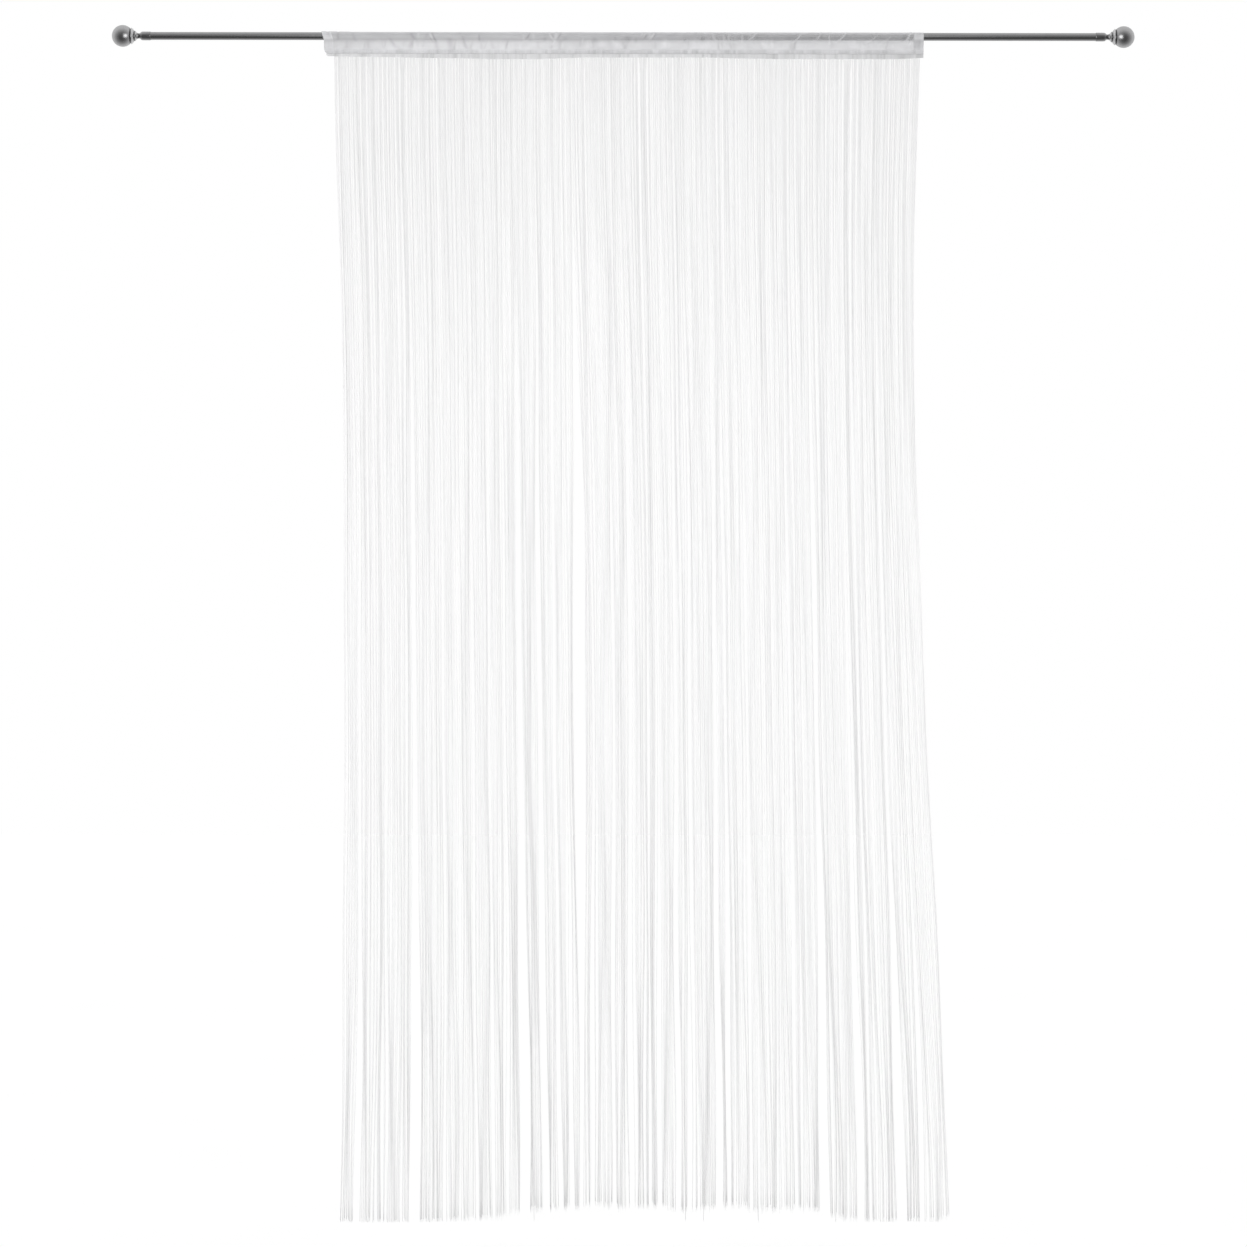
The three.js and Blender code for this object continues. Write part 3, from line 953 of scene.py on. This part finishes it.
def stitches(material):
    """Two rows of machine stitches along the seam, on the front and the back."""
    random = np.random.default_rng(5)
    turn = np.arange(STITCH_SIDES) * 2 * math.pi / STITCH_SIDES
    points = []
    for row in STITCH_ROWS:
        for side in (-1, 1):
            for at in np.arange(TAPE_LEFT + STITCH_INSET, TAPE_RIGHT - STITCH_INSET, STITCH_PITCH):
                tilt = random.uniform(-STITCH_TILT, STITCH_TILT)
                for share, wide in STITCH_OUTLINE:
                    along = share * STITCH_LENGTH
                    x = at + along + 0 * turn
                    y = side * (SEAM_HALF + CLOTH / 2 + STITCH_RAISED) + STITCH_RADIUS * wide * np.cos(turn)
                    z = row + along * tilt + STITCH_RADIUS * wide * np.sin(turn)
                    points.append(np.stack([x, y, z], -1))
    rings = len(STITCH_OUTLINE)
    faces = [face[::-1] for face in tube_faces(len(points) // rings, rings, STITCH_SIDES)]
    return mesh_piece("seam_stitches", np.array(points), faces, material)


# Tape and strings


def tape_piece(material):
    """The knitted tape, sewn between the pocket's layers and ribbed where each string leaves it."""
    count = int((TAPE_RIGHT - TAPE_LEFT) / TAPE_STEP)
    x = np.linspace(TAPE_LEFT, TAPE_RIGHT, count)
    random = np.random.default_rng(23)
    ring = np.array(TAPE_SECTION + [(-y, z) for y, z in reversed(TAPE_SECTION)]) * MM
    sides = len(ring)
    rib = 1 + RIB_HEIGHT * np.cos(2 * math.pi * x / RIB_PITCH)
    corner = smooth(0, TAPE_CORNER, x - TAPE_LEFT)
    sag = looked_up(TAPE_SAG, x / MM) * MM
    height = TAPE_CORNER_HEIGHT + (1 - TAPE_CORNER_HEIGHT) * corner
    stretch = height * (1 + sag / (TAPE_TOP - TAPE_FOOT))
    tongue = np.maximum(ring[:, 1] - TAPE_TOP, 0)
    edge = np.minimum(ring[:, 1] - TAPE_TOP, 0)
    y = ring[None, :, 0] * rib[:, None]
    z = TAPE_TOP + tongue * corner[:, None] + edge * stretch[:, None]
    points = np.stack([x[:, None] + 0 * y, y, z], -1)
    faces = tube_faces(1, count, sides)
    piece = mesh_piece("edge_tape", points, faces, material, "strings")
    tone = 1 + looked_up(TAPE_TONES, x / MM)
    for table in (TAPE_CLOUDS, TAPE_FLECKS):
        for at, wide, dark in marks(random, *table):
            tone = tone - dark * bell((x / MM - at) / wide)
    paint(piece, "tone", np.broadcast_to(np.clip(tone, 0.75, 1.1)[:, None], (count, sides)))
    return piece


def outline_at(drop):
    """The outline's three columns at drops in millimetres, with its corners rounded."""
    table = np.array(OUTLINE, float)
    around = drop[..., None] + np.linspace(-OUTLINE_EASE, OUTLINE_EASE, 5)
    return [np.interp(around, table[:, 0], table[:, c]).mean(-1) for c in (1, 2, 3)]


def hang(root, drop):
    """Where strings hang as the curtain's outline drifts: all a little, and those near an edge with it."""
    left, middle, right = outline_at(drop)
    near_left = np.exp((ROOT_LEFT - root) / EDGE_REACH)
    near_right = np.exp((root - ROOT_RIGHT) / EDGE_REACH)
    to_left = (left - ROOT_LEFT - middle) * near_left
    to_right = (right - ROOT_RIGHT - middle) * near_right
    return root + middle + to_left + to_right


def gathered(root, drop):
    """Where strings hang across the curtain once the gaps have opened, in millimetres."""
    place = hang(root, drop)
    at_foot = hang(root, np.full_like(drop, FOOT))
    for at, halfway, wide, start in OPENINGS:
        away = at_foot - at
        push = np.sign(away) * np.exp(-np.abs(away) / BUNDLE_REACH)
        width = halfway * smooth(start, HALFWAY, drop) + (wide - halfway) * smooth(LOWER, OPEN_BY, drop)
        place = place + width / 2 * push
    at, wide, stretch = THIN
    away = at_foot - at
    apart = stretch * np.tanh(away / wide) * np.exp(-np.abs(away) / (5 * wide))
    return place + apart * bell((drop - HALFWAY) / THIN_DROP)


def wander(random, root, drop, reach, lengths):
    """A slow sideways drift that strings near each other share."""
    total = np.zeros_like(drop)
    for length in lengths:
        phase = random.uniform(0, 2 * math.pi, 2)
        across = np.sin(2 * math.pi * root / reach + phase[0])
        total += across * np.sin(2 * math.pi * drop / length + phase[1])
    return total / len(lengths)


def string_drops(random, root):
    """How far down each step of each string lies, in millimetres, closer together at the root."""
    at_foot = gathered(root, np.full(STRING_COUNT, FOOT))
    rise = looked_up(ENDS, at_foot) + UNEVEN * random.random(STRING_COUNT)
    rise[LONG_ONES] *= LONG_RISE
    top = -TAPE_FOOT / MM - ROOT_DEPTH
    share = np.concatenate([[0, 0.0015], np.linspace(0.006, 1, STEPS - 2) ** 1.1])
    return top + (FOOT - rise - top)[:, None] * share


def drawn_together(random, x, drop):
    """The strings' places once groups of neighbours have drawn together."""
    sizes = picked(random, GROUP_SIZES, STRING_COUNT)
    group = np.repeat(np.arange(STRING_COUNT), sizes)[:STRING_COUNT]
    tightness = picked(random, TIGHTNESS, STRING_COUNT)[:, None]
    members = np.bincount(group, minlength=STRING_COUNT)[:, None]
    middle = np.zeros((STRING_COUNT, STEPS))
    np.add.at(middle, group, x)
    middle = middle / np.maximum(members, 1)
    mean, change, length = PULL_VARIES
    slack = random.uniform(0, 2 * math.pi, (STRING_COUNT, 1))
    pull = tightness * (mean + change * np.sin(2 * math.pi * drop / length + slack))
    return x + pull[group] * soft_steps(DRAWN, drop) * (middle[group] - x)


def string_lines():
    """The centre lines of all strings, in metres, and the turn of each one's flat section."""
    random = np.random.default_rng(3)
    order = np.arange(STRING_COUNT)
    root = ROOT_LEFT + (ROOT_RIGHT - ROOT_LEFT) * order / (STRING_COUNT - 1)
    root = root + random.uniform(-ROOT_UNEVEN, ROOT_UNEVEN, STRING_COUNT)
    drop = string_drops(random, root)
    root = root[:, None]
    lower = drop / FOOT
    x = gathered(root + 0 * drop, drop)
    for across, lengths, first, growth in DRIFTS:
        x += (first + growth * lower) * wander(random, root, drop, across, lengths)
    x = drawn_together(random, x, drop)
    own = random.uniform(0, 2 * math.pi, (2, STRING_COUNT, 1))
    free = smooth(*OWN_FROM, drop)
    x += OWN_SIDEWAYS[0] * free * np.sin(2 * math.pi * drop / OWN_SIDEWAYS[1] + own[0])
    lane = (order % LANES - (LANES - 1) / 2)[:, None]
    y = lane * LANE_STEP * smooth(-TAPE_FOOT / MM, LANES_OPEN_BY, drop)
    y = y + SWAY_DEPTH * lower**2 * np.sin(2 * math.pi * root / SWAY_LENGTH)
    y = y + OWN_DEPTH[0] * free * np.sin(2 * math.pi * drop / OWN_DEPTH[1] + own[1])
    first, more = [random.uniform(-most, most, (STRING_COUNT, 1)) for most in TWIST]
    return np.stack([x, y, -drop], -1) * MM, first + more * lower


def crowding(x):
    """How many strings hang within a couple of millimetres of each one, at every height."""
    total = np.empty_like(x)
    for step in range(x.shape[1]):
        total[:, step] = bell((x[:, step, None] - x[None, :, step]) / CROWD_REACH).sum(1)
    return total


def string_tones(random, lines):
    """The yarn's painted tone: crowded strings shade each other, the tape shades what hangs close under it,
    and it is lighter lower down and near the foot.
    """
    height = lines[..., 2]
    crowded = crowding(lines[..., 0] / MM) - CROWD_FREE
    tone = np.clip(CROWD_TONE - CROWD_SHADE * crowded, *CROWD_LIMITS)
    tone = tone * picked(random, STRING_TONES, (STRING_COUNT, 1))
    under_tape = TAPE_SHADE[0] * np.exp(height / TAPE_SHADE[1])
    return tone * (YARN_TONE - TONE_DOWN * height - under_tape + soft_steps([FOOT_LIGHT], -height))


def string_pieces(material):
    """All strings, in a few pieces from left to right, and their centre lines."""
    lines, turn = string_lines()
    random = np.random.default_rng(9)
    angle = np.arange(SIDES) * 2 * math.pi / SIDES
    half = np.array(STRING_HALF) * MM
    size = random.uniform(*SIZE_BY_STRING, (STRING_COUNT, 1))
    size = size * random.uniform(*SIZE_ALONG, (STRING_COUNT, STEPS))
    size *= 1 + sum(share * np.exp(lines[..., 2] / fade) for share, fade in THICKER_UP)
    size[:, 0] *= ROOT_SIZE
    size[:, -1] *= END_SIZE
    tone = string_tones(random, lines)
    wide = size[..., None] * half[0] * np.cos(angle)
    deep = size[..., None] * half[1] * np.sin(angle)
    cos, sin = np.cos(turn)[..., None], np.sin(turn)[..., None]
    points = np.empty((STRING_COUNT, STEPS, SIDES, 3))
    points[..., 0] = lines[..., 0, None] + wide * cos - deep * sin
    points[..., 1] = lines[..., 1, None] + wide * sin + deep * cos
    points[..., 2] = lines[..., 2, None]
    pieces = []
    for number, group in enumerate(np.array_split(np.arange(STRING_COUNT), PIECES), 1):
        faces = tube_faces(len(group), STEPS, SIDES)
        name = f"strings_{number}"
        piece = mesh_piece(name, points[group], faces, material, "strings")
        paint(piece, "tone", np.repeat(tone[group][..., None], SIDES, axis=2))
        pieces.append(piece)
    return pieces, lines


def frayed_ends(lines, material):
    """A few loose filaments below each string's cut end."""
    random = np.random.default_rng(17)
    turn = np.arange(FRAY_SIDES) * 2 * math.pi / FRAY_SIDES
    end = np.repeat(lines[:, -1], FRAY_EACH, axis=0)
    count = len(end)
    length = random.uniform(*FRAY_LENGTH, count) * MM
    spread = random.uniform(-FRAY_SPREAD, FRAY_SPREAD, (count, 2)) * MM
    start = random.uniform(-FRAY_START, FRAY_START, (count, 2)) * MM
    share = np.linspace(0, 1, FRAY_RINGS)
    centre = np.empty((count, FRAY_RINGS, 3))
    centre[..., :2] = end[:, None, :2] + start[:, None] + spread[:, None] * (share**1.6)[None, :, None]
    low = np.maximum(end[:, 2] - length, -FOOT * MM)
    centre[..., 2] = (end[:, 2] + FRAY_INSIDE * MM)[:, None] * (1 - share) + low[:, None] * share
    radius = (FRAY_RADIUS * MM * (1 - 0.7 * share))[None, :, None]
    points = np.empty((count, FRAY_RINGS, FRAY_SIDES, 3))
    points[..., 0] = centre[..., 0, None] + radius * np.cos(turn)
    points[..., 1] = centre[..., 1, None] + radius * np.sin(turn)
    points[..., 2] = centre[..., 2, None]
    faces = tube_faces(count, FRAY_RINGS, FRAY_SIDES)
    piece = mesh_piece("frayed_ends", points, faces, material, "strings")
    paint(piece, "tone", np.full(points.shape[:3], FRAY_TONE))
    return piece


# Studio


def studio_world():
    """White behind the curtain, soft light all round it, and a dark front that only metal shows."""
    world = bpy.data.worlds.new("studio")
    bpy.context.scene.world = world
    world.use_nodes = True
    tree = world.node_tree
    tree.nodes.clear()
    place = tree.nodes.new("ShaderNodeTexCoord")
    axes = tree.nodes.new("ShaderNodeSeparateXYZ")
    tree.links.new(place.outputs["Generated"], axes.inputs["Vector"])
    to_wall = combined(tree, "MULTIPLY_ADD", axes.outputs["Y"], METAL_TOWARDS_WALL, 0.5)
    to_wall = combined(tree, "MULTIPLY_ADD", axes.outputs["Z"], METAL_UPWARDS, to_wall)
    upwards = combined(tree, "MULTIPLY_ADD", axes.outputs["Z"], 0.5, 0.5)
    path = tree.nodes.new("ShaderNodeLightPath")
    layers = [
        (ramp(tree, upwards, ROOM_LIGHT), None),
        (ramp(tree, to_wall, METAL_SEES), path.outputs["Is Glossy Ray"]),
        (None, path.outputs["Is Camera Ray"]),
    ]
    result = None
    for colour, share in layers:
        light = tree.nodes.new("ShaderNodeBackground")
        light.inputs["Color"].default_value = (1, 1, 1, 1)
        if colour is not None:
            tree.links.new(colour, light.inputs["Color"])
        if share is None:
            result = light.outputs["Background"]
            continue
        mix = tree.nodes.new("ShaderNodeMixShader")
        tree.links.new(share, mix.inputs["Fac"])
        tree.links.new(result, mix.inputs[1])
        tree.links.new(light.outputs["Background"], mix.inputs[2])
        result = mix.outputs["Shader"]
    output = tree.nodes.new("ShaderNodeOutputWorld")
    tree.links.new(result, output.inputs["Surface"])


def lamp(name, place, aim, size, power, for_metal, lit):
    """A softbox out of the camera's sight, for the metal's highlights or for the cloth and strings."""
    light = bpy.data.lights.new(name, "AREA")
    light.shape = "RECTANGLE"
    light.size, light.size_y = size
    light.energy = power
    box = bpy.data.objects.new(name, light)
    box.location = place
    box.rotation_euler = (Vector(aim) - Vector(place)).to_track_quat("-Z", "Y").to_euler()
    box.visible_camera = False
    box.visible_glossy = for_metal
    box.visible_diffuse = not for_metal
    bpy.context.scene.collection.objects.link(box)
    receivers = bpy.data.collections.new(name + "_lights")
    for piece in lit:
        receivers.objects.link(piece)
    box.light_linking.receiver_collection = receivers


def floor():
    """A pale floor just below the strings."""
    mesh = bpy.data.meshes.new("floor")
    half = FLOOR_HALF
    z = -FOOT * MM - FLOOR_BELOW
    corners = [(-half, -half, z), (half, -half, z), (half, half, z), (-half, half, z)]
    mesh.from_pydata(corners, [], [(0, 1, 2, 3)])
    material, tree, shader = principled(
        "floor_white",
        Roughness=0.9,
        Specular_IOR_Level=0.0,
        Emission_Color=(1, 1, 1, 1),
        Emission_Strength=0.622,
    )
    grain = noise(tree, (3, 3, 3))
    tree.links.new(ramp(tree, grain, [(0.2, 0.51), (0.8, 0.53)]), shader.inputs["Base Color"])
    mesh.materials.append(material)
    plane = bpy.data.objects.new("floor", mesh)
    bpy.context.scene.collection.objects.link(plane)
    plane.visible_glossy = False
    plane.visible_diffuse = False


def camera():
    """Level with the middle of the photograph's frame, far enough away to flatten the view."""
    data = bpy.data.cameras.new("camera")
    side = PHOTO_SIDE * PHOTO_MM * MM
    data.sensor_width = 36
    data.lens = data.sensor_width * CAMERA_AWAY / side
    data.clip_end = 100
    eye = bpy.data.objects.new("camera", data)
    down = (ROD_ROW - PHOTO_SIDE / 2) * PHOTO_MM * MM
    eye.location = (CAMERA_RIGHT * PHOTO_MM * MM + CAMERA_TURN * down, -CAMERA_AWAY, down)
    eye.rotation_euler = (math.pi / 2, CAMERA_TURN, 0)
    bpy.context.scene.collection.objects.link(eye)
    bpy.context.scene.camera = eye


camera()
studio_world()
floor()
bpy.context.scene.view_settings.view_transform = "Standard"

steel = metal_material("rod_steel", (0.345, 0.345, 0.35), (0.395, 0.395, 0.40), 1500, 0.24)
nickel = metal_material("finial_nickel", (0.45, 0.45, 0.455), (0.51, 0.51, 0.515), 2500, 0.29)
rod = rod_piece(steel)
finials = [
    finial_piece("finial_left_turned", "finial_left", -1, nickel),
    finial_piece("finial_right_turned", "finial_right", 1, nickel),
]

yarn = yarn_material("string_yarn", 0.869, YARN_PITCH, 0.003)
cloth, cut = pocket_piece(cloth_material())
seam = stitches(thread_material())
tape = tape_piece(yarn_material("tape_yarn", 0.665, TAPE_PITCH, 0.008))
falls, centre_lines = string_pieces(yarn)
fray = frayed_ends(centre_lines, yarn)

lit_pieces = {"rod": [rod], "finials": finials, "textiles": [cloth, seam, tape, *falls, fray]}
for *setting, lit in LAMPS:
    lamp(*setting, lit_pieces[lit])

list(falls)
